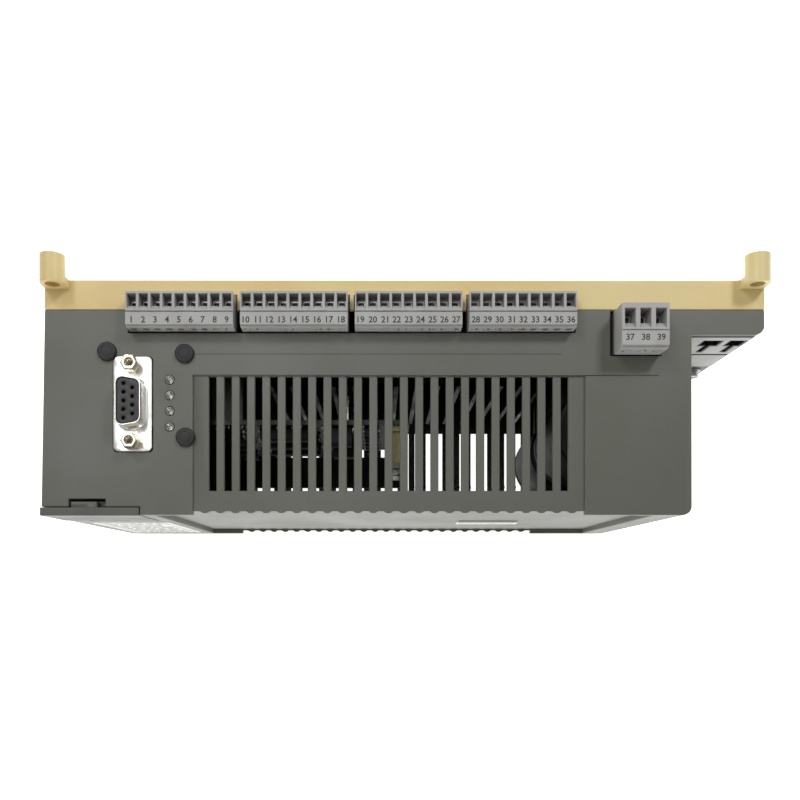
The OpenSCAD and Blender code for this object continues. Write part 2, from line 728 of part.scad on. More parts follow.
// Small yellow-taped transformers that drive the power stage
module pulse_transformers() {
  front = -control_back - board_t;
  for (z = [-3, 14.5, 32]) {
    color([0.55, 0.5, 0.25]) span([-4, front - 12.5, z - 7], [0.5, front - 2, z + 7]);
    color(dark_plastic) span([-6, front - 2, z - 8], [1.5, front, z + 8]);
  }
}

// Baffle behind the lower louvres that steers the air over the heatsink
module air_baffle() {
  color(dark_plastic) {
    span([-69, -63.2, -45.4], [1, -49.8, -44]);
    for (x = [-68:11.3:0]) span([x, -63.2, -44.1], [x + 1.4, -52.4, -42.6]);
    for (x = [-67.5, -33.9, 1.1]) span([x - 1.1, -61.6, -inner_top], [x + 1.1, -58.6, -45.3]);
  }
}

module board_bracket() {
  color(olive) difference() {
    union() {
      span([-66, -12.4, -34], [-55.5, -main_front, 34]);
      span([-66, -control_back, 32.8], [-55.5, -main_front, 34]);
      span([-66, -control_back, -34], [-55.5, -main_front, -32.8]);
      for (z = [-34, 24]) span([-66, -control_back, z], [-55.5, -control_back + 1.2, z + 10]);
    }
    for (z = [-29, 29]) y_rod(bracket_x, z, 1.3, -45, -53);
    for (z = [-24, 0, 24]) y_rod(bracket_x, z, 2.2, -10, -13);
  }
}

module standoffs() {
  color(steel) for (z = standoff_zs) {
    translate([standoff_x, -18, z]) rotate([90, 0, 0]) cylinder(d = 5.2, h = control_back - 18, $fn = 6);
    y_rod(standoff_x, z, 1.15, -14.2, -control_back - 3);
  }
}

// ---- Plates on the front ----

module rating_plate() {
  color([0.8, 0.8, 0.78]) span([-113.5, -case_front - 0.2, -38.5], [-85, -case_front, 19.5]);
}

module badge_plate() {
  color([0.6, 0.6, 0.58]) span([22, -case_front + 1.2, -8.6], [45.5, -case_front + 2, -0.4]);
}

base_tray();
cover();
cover_screws();
access_flap();
flap_pin();
setup_board();
switch_bodies();
rotor_high();
rotor_low();
interface_board();
board_rivets();
status_leds();
dsub_flange();
dsub_insulator();
dsub_contacts();
jackscrews();
main_board();
header_pins();
signal_header_1();
signal_header_2();
signal_header_3();
signal_header_4();
signal_plug_1();
signal_plug_2();
signal_plug_3();
signal_plug_4();
plug_clamps_1();
plug_clamps_2();
plug_clamps_3();
plug_clamps_4();
plug_screws_1();
plug_screws_2();
plug_screws_3();
plug_screws_4();
aux_header();
aux_pins();
aux_plug();
aux_clamps();
aux_screws();
power_board();
motor_header();
supply_header();
power_pins();
earth_screw();
bus_capacitors();
capacitor_cradle();
brake_relay();
heatsink();
power_module();
control_board();
logic_chips();
board_bracket();
standoffs();
rating_plate();
badge_plate();
contact_carriers();
pulse_transformers();
air_baffle();
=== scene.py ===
import json
import math
import random

import bmesh
import bpy
from mathutils import Matrix, Vector


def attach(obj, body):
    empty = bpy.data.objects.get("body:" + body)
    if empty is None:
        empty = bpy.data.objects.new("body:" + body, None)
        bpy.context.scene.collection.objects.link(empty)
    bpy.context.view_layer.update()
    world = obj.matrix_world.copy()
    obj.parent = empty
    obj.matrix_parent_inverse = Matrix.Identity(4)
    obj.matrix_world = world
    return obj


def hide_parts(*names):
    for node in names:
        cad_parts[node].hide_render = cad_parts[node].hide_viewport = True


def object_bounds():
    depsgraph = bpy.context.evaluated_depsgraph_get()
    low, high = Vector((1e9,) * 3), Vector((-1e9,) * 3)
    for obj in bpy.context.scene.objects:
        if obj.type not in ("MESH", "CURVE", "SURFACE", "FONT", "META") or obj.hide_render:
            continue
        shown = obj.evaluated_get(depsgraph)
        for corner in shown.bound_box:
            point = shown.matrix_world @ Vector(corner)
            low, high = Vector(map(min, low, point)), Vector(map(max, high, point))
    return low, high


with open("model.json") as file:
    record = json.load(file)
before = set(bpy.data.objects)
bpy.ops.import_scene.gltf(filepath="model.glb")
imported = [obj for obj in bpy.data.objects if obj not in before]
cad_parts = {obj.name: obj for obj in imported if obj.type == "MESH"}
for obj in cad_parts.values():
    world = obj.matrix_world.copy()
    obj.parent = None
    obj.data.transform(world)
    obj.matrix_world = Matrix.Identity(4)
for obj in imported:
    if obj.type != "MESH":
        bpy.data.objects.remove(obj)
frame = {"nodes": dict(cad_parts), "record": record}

cadLow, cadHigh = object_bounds()
mm = 0.001
weld = 0.002 * mm  # points nearer than this are one point
nodes = frame["nodes"]
bodyNodes = frame["record"]["behaviour"]["bodies"]
bodyOf = {node: body for body, members in bodyNodes.items() for node in members}
slotOf = {row["node"]: row["material_slot"] for row in frame["record"]["subparts"]}


# camera, light and floor; the lens looks straight down on the upper face, from in front of the drive
camera = {"x": -8.0, "y": -105.1, "z": 320.8, "lens": 37.3, "shiftX": 0.025, "shiftY": 0.229}
lamps = [
    {"name": "keyLeft", "place": (-300, 380, 560), "size": 170, "watts": 0.9},
    {"name": "keyRight", "place": (360, 380, 560), "size": 170, "watts": 1.9},
    {"name": "frontFill", "place": (-60, -620, 40), "size": 420, "watts": 2.0},
    {"name": "overhead", "place": (-230, 105, 760), "size": 460, "watts": 1.3},
]
stage = {"floorDrop": 0.3, "floorSize": 6.0, "floorColour": "#f4f4f2", "floorGlow": 0.95,
         "skyOverhead": "#6c6c6a", "skyHorizon": "#cfcfcd", "skyStrength": 1.0,
         "paleUpTo": 0.15, "dimFrom": 0.7}


def linearColour(hexColour):
    # sRGB hex to the linear values that shaders take
    parts = [int(hexColour[i:i + 2], 16) / 255 for i in (1, 3, 5)]
    return [p / 12.92 if p <= 0.04045 else ((p + 0.055) / 1.055) ** 2.4 for p in parts] + [1.0]


def addNode(tree, kind, settings=None, links=None):
    node = tree.nodes.new(kind)
    for key, value in (settings or {}).items():
        if isinstance(key, int) or key in node.inputs:
            node.inputs[key].default_value = value
        else:
            setattr(node, key, value)
    for key, source in (links or {}).items():
        tree.links.new(source, node.inputs[key])
    return node


def newMaterial(name):
    material = bpy.data.materials.new(name)
    material.use_nodes = True
    tree = material.node_tree
    tree.nodes.clear()
    shader = addNode(tree, "ShaderNodeBsdfPrincipled")
    addNode(tree, "ShaderNodeOutputMaterial", links={"Surface": shader.outputs["BSDF"]})
    return material, tree, shader


def makeCamera():
    data = bpy.data.cameras.new("camera")
    data.lens = camera["lens"]
    data.sensor_width = 36
    data.shift_x = camera["shiftX"]
    data.shift_y = camera["shiftY"]
    data.clip_start = 0.01
    data.clip_end = 20
    cam = bpy.data.objects.new("camera", data)
    cam.location = (camera["x"] * mm, camera["y"] * mm, camera["z"] * mm)
    bpy.context.collection.objects.link(cam)
    bpy.context.scene.camera = cam


def makeLamps():
    for lamp in lamps:
        data = bpy.data.lights.new(lamp["name"], "AREA")
        data.shape = "DISK"
        data.size = lamp["size"] * mm
        data.energy = lamp["watts"]
        light = bpy.data.objects.new(lamp["name"], data)
        light.location = Vector(lamp["place"]) * mm
        light.rotation_euler = (-light.location).to_track_quat("-Z", "Y").to_euler()
        bpy.context.collection.objects.link(light)


def makeSky():
    # pale round the horizon and dimmer overhead, like a light tent with a dark top
    world = bpy.data.worlds.new("studio")
    world.use_nodes = True
    tree = world.node_tree
    sky = tree.nodes["Background"]
    sky.inputs["Strength"].default_value = stage["skyStrength"]
    direction = addNode(tree, "ShaderNodeTexCoord").outputs["Generated"]
    height = addNode(tree, "ShaderNodeSeparateXYZ", links={0: direction})
    rise = addNode(tree, "ShaderNodeMapRange", {"From Min": stage["paleUpTo"], "From Max": stage["dimFrom"]},
                   {"Value": height.outputs["Z"]})
    skies = {"Color1": linearColour(stage["skyHorizon"]), "Color2": linearColour(stage["skyOverhead"])}
    blend = addNode(tree, "ShaderNodeMixRGB", skies, {"Fac": rise.outputs["Result"]})
    # the lens itself sees plain white behind the drive
    lens = addNode(tree, "ShaderNodeLightPath").outputs["Is Camera Ray"]
    seen = addNode(tree, "ShaderNodeMixRGB", {"Color2": linearColour("#ffffff")},
                   {"Fac": lens, "Color1": blend.outputs["Color"]})
    tree.links.new(seen.outputs["Color"], sky.inputs["Color"])
    bpy.context.scene.world = world
    bpy.context.scene.view_settings.view_transform = "Standard"


def makeFloor():
    bm = bmesh.new()
    bmesh.ops.create_grid(bm, x_segments=1, y_segments=1, size=stage["floorSize"] / 2)
    bmesh.ops.translate(bm, verts=bm.verts, vec=(0, 0, cadLow.z - stage["floorDrop"] * mm))
    mesh = bpy.data.meshes.new("floor")
    bm.to_mesh(mesh)
    bm.free()
    floor = bpy.data.objects.new("floor", mesh)
    bpy.context.collection.objects.link(floor)
    # matt white card, glowing a little so that it shows as clean white
    material, tree, shader = newMaterial("whiteCard")
    shader.inputs["Base Color"].default_value = linearColour(stage["floorColour"])
    shader.inputs["Roughness"].default_value = 0.9
    shader.inputs["Emission Color"].default_value = linearColour("#ffffff")
    shader.inputs["Emission Strength"].default_value = stage["floorGlow"]
    mesh.materials.append(material)


makeCamera()
makeLamps()
makeSky()
makeFloor()
print("camera, lamps and floor are in place")


# materials

cloudSpan = {"From Min": 0.35, "From Max": 0.65}  # noise seldom leaves the middle of its range
noiseSpan = {"From Min": 0.3, "From Max": 0.7}


def perSize(sizeMm):
    # texture scale that gives features of that size on Object coordinates in metres
    return 1 / (sizeMm * mm)


def mouldedPlastic(name, look):
    # two colours clouded together, a moulded grain in the bump and a slightly uneven gloss
    material, tree, shader = newMaterial(name)
    place = addNode(tree, "ShaderNodeTexCoord").outputs["Object"]
    cloud = addNode(tree, "ShaderNodeTexNoise",
                    {"Scale": perSize(look["cloudMm"]), "Detail": 3.0, "Roughness": 0.55}, {"Vector": place})
    spread = addNode(tree, "ShaderNodeMapRange", cloudSpan, {"Value": cloud.outputs["Fac"]})
    colour = addNode(tree, "ShaderNodeMixRGB",
                     {"Color1": linearColour(look["colour"]), "Color2": linearColour(look["cloud"])},
                     {"Fac": spread.outputs["Result"]})
    speck = addNode(tree, "ShaderNodeTexNoise",
                    {"Scale": perSize(look["grainMm"]), "Detail": 2.0, "Roughness": 0.6}, {"Vector": place})
    fleck = addNode(tree, "ShaderNodeMapRange",
                    {**noiseSpan, "To Min": 1 - look["fleck"], "To Max": 1 + look["fleck"]},
                    {"Value": speck.outputs["Fac"]})
    flecked = addNode(tree, "ShaderNodeVectorMath", {"operation": "SCALE"},
                      {0: colour.outputs["Color"], "Scale": fleck.outputs["Result"]})
    roughness, unevenness, grainDepth = look["roughness"], 0.06, 0.12 * look["grainMm"] * mm
    gloss = addNode(tree, "ShaderNodeMapRange",
                    {**noiseSpan, "To Min": roughness - unevenness, "To Max": roughness + unevenness},
                    {"Value": cloud.outputs["Fac"]})
    bump = addNode(tree, "ShaderNodeBump", {"Strength": look["bump"], "Distance": grainDepth},
                   {"Height": speck.outputs["Fac"]})
    tree.links.new(flecked.outputs["Vector"], shader.inputs["Base Color"])
    tree.links.new(gloss.outputs["Result"], shader.inputs["Roughness"])
    tree.links.new(bump.outputs["Normal"], shader.inputs["Normal"])
    shader.inputs["IOR"].default_value = look["ior"]
    return material


def platedMetal(name, look):
    # bright metal with handling smudges in its gloss and fine rolling or turning marks
    material, tree, shader = newMaterial(name)
    place = addNode(tree, "ShaderNodeTexCoord").outputs["Object"]
    stretch = addNode(tree, "ShaderNodeMapping", {"Scale": look["stretch"]}, {"Vector": place})
    marks = addNode(tree, "ShaderNodeTexNoise", {"Scale": perSize(look["markMm"]), "Detail": 3.0},
                    {"Vector": stretch.outputs["Vector"]})
    smudge = addNode(tree, "ShaderNodeTexNoise", {"Scale": perSize(look["smudgeMm"]), "Detail": 2.0},
                     {"Vector": place})
    tint = addNode(tree, "ShaderNodeMixRGB",
                   {"Color1": linearColour(look["colour"]), "Color2": linearColour(look["tarnish"])},
                   {"Fac": smudge.outputs["Fac"]})
    markDepth = 0.02 * mm
    gloss = addNode(tree, "ShaderNodeMapRange",
                    {**noiseSpan, "To Min": look["roughness"] * 0.7, "To Max": look["roughness"] * 1.3},
                    {"Value": smudge.outputs["Fac"]})
    bump = addNode(tree, "ShaderNodeBump", {"Strength": look["bump"], "Distance": markDepth},
                   {"Height": marks.outputs["Fac"]})
    tree.links.new(tint.outputs["Color"], shader.inputs["Base Color"])
    tree.links.new(gloss.outputs["Result"], shader.inputs["Roughness"])
    tree.links.new(bump.outputs["Normal"], shader.inputs["Normal"])
    shader.inputs["Metallic"].default_value = 1.0
    return material


def solderMask(name, look):
    # glossy green lacquer with paler copper tracks under it
    material, tree, shader = newMaterial(name)
    place = addNode(tree, "ShaderNodeTexCoord").outputs["Object"]
    tracks = addNode(tree, "ShaderNodeTexVoronoi",
                     {"Scale": perSize(look["trackMm"]), "distance": "MANHATTAN"}, {"Vector": place})
    edge = addNode(tree, "ShaderNodeMapRange", {"From Min": look["edgeFrom"], "From Max": look["edgeTo"]},
                   {"Value": tracks.outputs["Distance"]})
    colour = addNode(tree, "ShaderNodeMixRGB",
                     {"Color1": linearColour(look["colour"]), "Color2": linearColour(look["track"])},
                     {"Fac": edge.outputs["Result"]})
    tree.links.new(colour.outputs["Color"], shader.inputs["Base Color"])
    shader.inputs["Roughness"].default_value = look["roughness"]
    return material


def clearEpoxy(name, look):
    # cast epoxy: you look into it, and the lamp's cup shows as a paler core
    material, tree, shader = newMaterial(name)
    place = addNode(tree, "ShaderNodeTexCoord").outputs["Object"]
    haze = addNode(tree, "ShaderNodeTexNoise", {"Scale": perSize(look["hazeMm"]), "Detail": 2.0},
                   {"Vector": place})
    colour = addNode(tree, "ShaderNodeMixRGB",
                     {"Color1": linearColour(look["colour"]), "Color2": linearColour(look["haze"])},
                     {"Fac": haze.outputs["Fac"]})
    tree.links.new(colour.outputs["Color"], shader.inputs["Base Color"])
    shader.inputs["Roughness"].default_value = look["roughness"]
    shader.inputs["Transmission Weight"].default_value = look["clear"]
    shader.inputs["IOR"].default_value = look["ior"]
    return material


plastics = {
    # spark-eroded mould texture keeps this ABS satin and hides sink marks
    "oliveAbsSpark": {"colour": "#656660", "cloud": "#5f6157", "cloudMm": 38, "grainMm": 0.45, "fleck": 0.035,
                      "roughness": 0.46, "bump": 0.35, "ior": 1.53},
    # ivory ABS that has yellowed unevenly with age and heat
    "ivoryAbsYellowed": {"colour": "#e0cf96", "cloud": "#dcc184", "cloudMm": 46, "grainMm": 0.5,
                         "fleck": 0.02, "roughness": 0.42, "bump": 0.2, "ior": 1.53},
    # the flap comes from another batch of the same ABS, a little darker
    "flapAbsSpark": {"colour": "#565751", "cloud": "#51524b", "cloudMm": 24, "grainMm": 0.45, "fleck": 0.035,
                     "roughness": 0.46, "bump": 0.3, "ior": 1.53},
    # polyamide terminal mouldings: dry looking, almost no grain
    "greyPolyamide": {"colour": "#b0b0ae", "cloud": "#a7a6a4", "cloudMm": 9, "grainMm": 0.3, "fleck": 0.02,
                      "roughness": 0.5, "bump": 0.12, "ior": 1.53},
    "headerPolyamide": {"colour": "#7b7b78", "cloud": "#737370", "cloudMm": 9, "grainMm": 0.3, "fleck": 0.02,
                        "roughness": 0.55, "bump": 0.12, "ior": 1.53},
    # black nylon and thermoset parts with a soft sheen
    "blackNylon": {"colour": "#1d1d1d", "cloud": "#181818", "cloudMm": 5, "grainMm": 0.25, "fleck": 0.04,
                   "roughness": 0.55, "bump": 0.15, "ior": 1.53},
    "insulatorPbt": {"colour": "#38383a", "cloud": "#303032", "cloudMm": 4, "grainMm": 0.2, "fleck": 0.03,
                     "roughness": 0.5, "bump": 0.1, "ior": 1.55},
    "rotorAcetal": {"colour": "#e6e0cc", "cloud": "#ddd5bd", "cloudMm": 4, "grainMm": 0.3, "fleck": 0.01,
                    "roughness": 0.35, "bump": 0.05, "ior": 1.48},
    "chipEpoxy": {"colour": "#1e1f20", "cloud": "#262728", "cloudMm": 6, "grainMm": 0.12, "fleck": 0.06,
                  "roughness": 0.6, "bump": 0.2, "ior": 1.55},
    # dark blue sleeve, darker than the real one: painted shade for the inside of the case seen through the
    # louvres
    "capacitorSleeve": {"colour": "#10131d", "cloud": "#0d1019", "cloudMm": 12, "grainMm": 0.6, "fleck": 0.01,
                        "roughness": 0.5, "bump": 0.05, "ior": 1.5},
    "relayCase": {"colour": "#b9752c", "cloud": "#a9681f", "cloudMm": 8, "grainMm": 0.5, "fleck": 0.01,
                  "roughness": 0.2, "bump": 0.03, "ior": 1.58},
    # printed polyester film, pale and a little glossy
    "labelFilm": {"colour": "#c9c9c3", "cloud": "#c0c0b9", "cloudMm": 20, "grainMm": 0.4, "fleck": 0.01,
                  "roughness": 0.3, "bump": 0.04, "ior": 1.6},
    # near white: painted highlight, so that the badge rim shows as a bright line
    "badgeAbs": {"colour": "#efefea", "cloud": "#e6e6e0", "cloudMm": 12, "grainMm": 0.4, "fleck": 0.01,
                 "roughness": 0.35, "bump": 0.1, "ior": 1.53},
    # yellow polyester winding tape, faintly ribbed where it overlaps
    "windingTape": {"colour": "#a89f62", "cloud": "#978e54", "cloudMm": 5, "grainMm": 0.5, "fleck": 0.02,
                    "roughness": 0.3, "bump": 0.08, "ior": 1.6},
    # pad-printed epoxy ink, slightly worn
    "printInk": {"colour": "#363635", "cloud": "#40403f", "cloudMm": 1.5, "grainMm": 0.2, "fleck": 0.05,
                 "roughness": 0.6, "bump": 0.05, "ior": 1.5},
}
metals = {
    # hot-tinned steel: nearly white, with soft smudges
    "tinPlate": {"colour": "#fdfcf8", "tarnish": "#f3f1ea", "roughness": 0.34, "bump": 0.06, "markMm": 0.6,
                 "smudgeMm": 6, "stretch": (1, 0.2, 1)},
    # clear zinc plating: bluish grey and duller than tin
    "zincPlate": {"colour": "#b9bbba", "tarnish": "#9fa09c", "roughness": 0.38, "bump": 0.2, "markMm": 0.2,
                  "smudgeMm": 2.5, "stretch": (1, 1, 0.4)},
    # nickel over brass: warm and bright, turned on a lathe
    "nickelPlate": {"colour": "#f4efe0", "tarnish": "#e4dcc8", "roughness": 0.26, "bump": 0.05, "markMm": 0.3,
                    "smudgeMm": 2, "stretch": (1, 1, 3)},
    "goldFlash": {"colour": "#e0c078", "tarnish": "#c9a862", "roughness": 0.3, "bump": 0.05, "markMm": 0.1,
                  "smudgeMm": 1, "stretch": (1, 1, 1)},
    # black anodised extrusion: long fine die lines show through the dye; its colour is also darker than the
    # anodising itself, painted shade for the inside of the case seen through the louvres
    "anodisedAluminium": {"colour": "#1f2021", "tarnish": "#191a1b", "roughness": 0.45, "bump": 0.3,
                          "markMm": 0.5, "smudgeMm": 9, "stretch": (1, 1, 0.03)},
}
# dark green lacquer; tracks are drawn coarser than the real ones so that they show
lacquer = {"colour": "#101c14", "track": "#1a3021", "trackMm": 1.6, "edgeFrom": 0.42, "edgeTo": 0.5,
           "roughness": 0.35}
# water-clear epoxy, polished by its mould
epoxy = {"colour": "#b6b6af", "haze": "#9e9e97", "hazeMm": 1.2, "roughness": 0.1, "clear": 0.85, "ior": 1.54}
finish = {name: mouldedPlastic(name, look) for name, look in plastics.items()}
finish.update({name: platedMetal(name, look) for name, look in metals.items()})
finish["boardLacquer"] = solderMask("boardLacquer", lacquer)
finish["lampEpoxy"] = clearEpoxy("lampEpoxy", epoxy)

slotFinish = {
    "ivory_abs": "ivoryAbsYellowed", "olive_abs": "oliveAbsSpark", "terminal_plastic": "greyPolyamide",
    "header_plastic": "headerPolyamide", "black_plastic": "blackNylon", "rotor_plastic": "rotorAcetal",
    "led_lens": "lampEpoxy", "tinned_steel": "tinPlate", "zinc_steel": "zincPlate",
    "nickel_brass": "nickelPlate", "tin_pins": "tinPlate", "gold_contact": "goldFlash",
    "circuit_board": "boardLacquer", "capacitor_sleeve": "capacitorSleeve", "relay_case": "relayCase",
    "heatsink_aluminium": "anodisedAluminium", "chip_epoxy": "chipEpoxy", "transformer_tape": "windingTape",
    "label_film": "labelFilm", "badge_plastic": "badgeAbs",
}
# these differ from the rest of their slot
nodeFinish = {"access_flap": "flapAbsSpark", "dsub_insulator": "insulatorPbt"}
for nodeName, nodeObject in nodes.items():
    material = finish[nodeFinish.get(nodeName, slotFinish[slotOf[nodeName]])]
    if nodeObject.material_slots:
        for materialSlot in nodeObject.material_slots:
            materialSlot.material = material
    else:
        nodeObject.data.materials.append(material)
print("materials are on", len(nodes), "nodes")


# making pieces

def finishPiece(bm, name, materialName, body, standsFor=(), smoothAngle=35):
    # turns a bmesh into an object that rides on its body
    mesh = bpy.data.meshes.new(name)
    bm.to_mesh(mesh)
    bm.free()
    mesh.shade_smooth()
    mesh.set_sharp_from_angle(angle=math.radians(smoothAngle))
    mesh.materials.append(finish[materialName])
    piece = bpy.data.objects.new(name, mesh)
    bpy.context.collection.objects.link(piece)
    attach(piece, body)
    if standsFor:
        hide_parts(*standsFor)
    return piece


def softenedCopy(nodeName, pieceName, radius, shortest, segments=2):
    # the moulded part with its edges rounded, as every moulding's are
    bm = bmesh.new()
    bm.from_mesh(nodes[nodeName].data)
    bmesh.ops.remove_doubles(bm, verts=bm.verts, dist=weld)
    bmesh.ops.dissolve_limit(bm, angle_limit=math.radians(1), verts=bm.verts, edges=bm.edges, delimit=set())
    sharpAngle = math.radians(40)
    narrow = 1.3 * radius * mm  # a face has to keep some width between its rounded edges

    def wide(face):
        return 2 * face.calc_area() / face.calc_perimeter() > narrow

    sharp = [edge for edge in bm.edges if edge.is_convex and edge.calc_face_angle(0) > sharpAngle
             and edge.calc_length() > shortest * mm and all(wide(face) for face in edge.link_faces)]
    bmesh.ops.bevel(bm, geom=sharp, offset=radius * mm, offset_type="OFFSET", affect="EDGES",
                    segments=segments, profile=0.5, material=-1, clamp_overlap=False)
    slotName = slotOf[nodeName]
    materialName = nodeFinish.get(nodeName, slotFinish[slotName])
    piece = finishPiece(bm, pieceName, materialName, bodyOf[nodeName], [nodeName])
    weighted = piece.modifiers.new("flatFaces", "WEIGHTED_NORMAL")
    weighted.keep_sharp = True
    return piece


# edge radius, and the shortest edge that is rounded
softened = {
    "cover": (0.28, 0.67), "base_tray": (0.35, 12), "access_flap": (0.2, 0.48),
    "signal_plug_1": (0.12, 0.3), "signal_plug_2": (0.12, 0.3), "signal_plug_3": (0.12, 0.3),
    "signal_plug_4": (0.12, 0.3), "aux_plug": (0.18, 0.43), "motor_header": (0.15, 0.36),
    "supply_header": (0.15, 0.36), "heatsink": (0.15, 0.36),
}
for nodeName, (radius, shortest) in softened.items():
    first, *others = nodeName.split("_")
    pieceName = first + "".join(word.capitalize() for word in others) + "Moulding"
    softenedCopy(nodeName, pieceName, radius, shortest)
print("mouldings are rounded")


# shapes that the pieces below are made from; sizes in millimetres

def roundedOutline(corners, radius, steps=5):
    # the outline with every corner turned into an arc
    outline = []
    for index, corner in enumerate(corners):
        here = Vector(corner)
        back = (Vector(corners[index - 1]) - here).normalized()
        ahead = (Vector(corners[(index + 1) % len(corners)]) - here).normalized()
        half = back.angle(ahead) / 2
        centre = here + (back + ahead).normalized() * (radius / math.sin(half))
        start = here + back * (radius / math.tan(half)) - centre
        end = here + ahead * (radius / math.tan(half)) - centre
        turn = math.atan2(start.x * end.y - start.y * end.x, start.dot(end))
        outline += [centre + Matrix.Rotation(turn * step / steps, 2) @ start for step in range(steps + 1)]
    return outline


def ringOutline(x, y, radius, steps=24, turn=0.0):
    return [Vector((x + radius * math.cos(turn + math.tau * step / steps),
                    y + radius * math.sin(turn + math.tau * step / steps))) for step in range(steps)]


def boxOutline(x0, y0, x1, y1):
    return [(x0, y0), (x1, y0), (x1, y1), (x0, y1)]


def plate(bm, outlines, z0, z1, edge=0.1, segments=2):
    # a flat piece in XY; the outlines after the first are holes; its rims are rounded by edge
    part = bmesh.new()
    for outline in outlines:
        verts = [part.verts.new((point[0] * mm, point[1] * mm, z0 * mm)) for point in outline]
        for index, vert in enumerate(verts):
            part.edges.new((verts[index - 1], vert))
    bmesh.ops.triangle_fill(part, edges=part.edges[:], use_beauty=True)
    grown = bmesh.ops.extrude_face_region(part, geom=part.faces[:])
    lifted = [item for item in grown["geom"] if isinstance(item, bmesh.types.BMVert)]
    bmesh.ops.translate(part, verts=lifted, vec=(0, 0, (z1 - z0) * mm))
    bmesh.ops.recalc_face_normals(part, faces=part.faces[:])
    if edge:
        rimAngle = 1.2  # radians; steeper than any facet of an arc
        rims = [rim for rim in part.edges if rim.is_manifold and rim.calc_face_angle(0) > rimAngle]
        bmesh.ops.bevel(part, geom=rims, offset=edge * mm, offset_type="OFFSET", affect="EDGES",
                        segments=segments, profile=0.5, material=-1, clamp_overlap=True)
    merge(bm, part)


def merge(bm, part, place=None):
    # adds one bmesh to another, moved by place
    if place is not None:
        bmesh.ops.transform(part, matrix=place, verts=part.verts[:])
    mesh = bpy.data.meshes.new("scrap")
    part.to_mesh(mesh)
    part.free()
    bm.from_mesh(mesh)
    bpy.data.meshes.remove(mesh)


def block(bm, low, high, edge=0.0):
    # a box with its edges rounded by edge
    part = bmesh.new()
    bmesh.ops.create_cube(part, size=1)
    size = [(high[axis] - low[axis]) * mm for axis in range(3)]
    middle = [(high[axis] + low[axis]) / 2 * mm for axis in range(3)]
    bmesh.ops.scale(part, verts=part.verts, vec=size)
    bmesh.ops.translate(part, verts=part.verts, vec=middle)
    if edge:
        bmesh.ops.bevel(part, geom=part.edges[:], offset=edge * mm, offset_type="OFFSET", affect="EDGES",
                        segments=2, profile=0.5, material=-1, clamp_overlap=True)
    merge(bm, part)


def turned(bm, profile, place, steps=32):
    # a turned piece: profile is (radius, height) from the foot to the top, both ends on the axis
    part = bmesh.new()
    rings = []
    for radius, height in profile:
        if radius == 0:
            rings.append([part.verts.new((0, 0, height * mm))])
        else:
            rings.append([part.verts.new((radius * mm * math.cos(math.tau * step / steps),
                                          radius * mm * math.sin(math.tau * step / steps), height * mm))
                          for step in range(steps)])
    for lower, upper in zip(rings, rings[1:]):
        for step in range(steps):
            after = (step + 1) % steps
            corners = [lower[step % len(lower)], lower[after % len(lower)],
                       upper[after % len(upper)], upper[step % len(upper)]]
            part.faces.new(list(dict.fromkeys(corners)))  # a ring on the axis gives a triangle
    bmesh.ops.recalc_face_normals(part, faces=part.faces[:])
    merge(bm, part, place)


def at(x, y, z):
    return Matrix.Translation(Vector((x, y, z)) * mm)


def arc(radius, height, bend, steps=4):
    # points of a rounded rim that turns from the side to the top
    return [(radius - bend + bend * math.cos(math.pi / 2 * step / steps),
             height - bend + bend * math.sin(math.pi / 2 * step / steps)) for step in range(steps + 1)]


def loosePieces(nodeName):
    # lowest and highest corner, in millimetres, of each separate solid in a node
    bm = bmesh.new()
    bm.from_mesh(nodes[nodeName].data)
    bmesh.ops.remove_doubles(bm, verts=bm.verts, dist=weld)
    waiting = set(bm.verts)
    found = []
    while waiting:
        group = {waiting.pop()}
        border = list(group)
        while border:
            vert = border.pop()
            for link in vert.link_edges:
                other = link.other_vert(vert)
                if other not in group:
                    group.add(other)
                    border.append(other)
        waiting -= group
        found.append(([min(vert.co[axis] for vert in group) / mm for axis in range(3)],
                      [max(vert.co[axis] for vert in group) / mm for axis in range(3)]))
    bm.free()
    return sorted(found)


# D connector

dConnector = {"x": -88.5, "y": -46.8, "face": 51.1, "board": 41.35, "width": 12.5, "length": 30.8,
              "corner": 1.5, "flangeSheet": 0.8, "halfD": 3.7, "halfLongSide": 7.9, "halfShortSide": 6.6,
              "shellRise": 5.8, "shellWall": 0.4, "shellCorner": 1.9, "foot": 0.9, "rearShell": 5,
              "screwStep": 24.99, "screwHole": 1.55, "pinPitch": 2.77, "rowStep": 2.84, "socketTop": 2.6,
              "socketHole": 0.62, "socketRadius": 0.6, "socketBore": 0.42}
jackscrew = {"hexRadius": 2.75, "bore": 1.25, "rise": 4.8, "shank": 1.45, "threadStart": 0.9,
             "threadPitch": 0.635, "threadOuter": 1.3, "threadInner": 1.08, "threadHeight": 0.3, "turns": 5}


def dOutline(grow):
    # the D shape, grown outwards by grow
    half, longSide, shortSide = (dConnector[key] + grow for key in ("halfD", "halfLongSide", "halfShortSide"))
    corners = [(-half, -longSide), (half, -shortSide), (half, shortSide), (-half, longSide)]
    centre = Vector((dConnector["x"], dConnector["y"]))
    return [point + centre for point in roundedOutline(corners, dConnector["shellCorner"] + grow)]


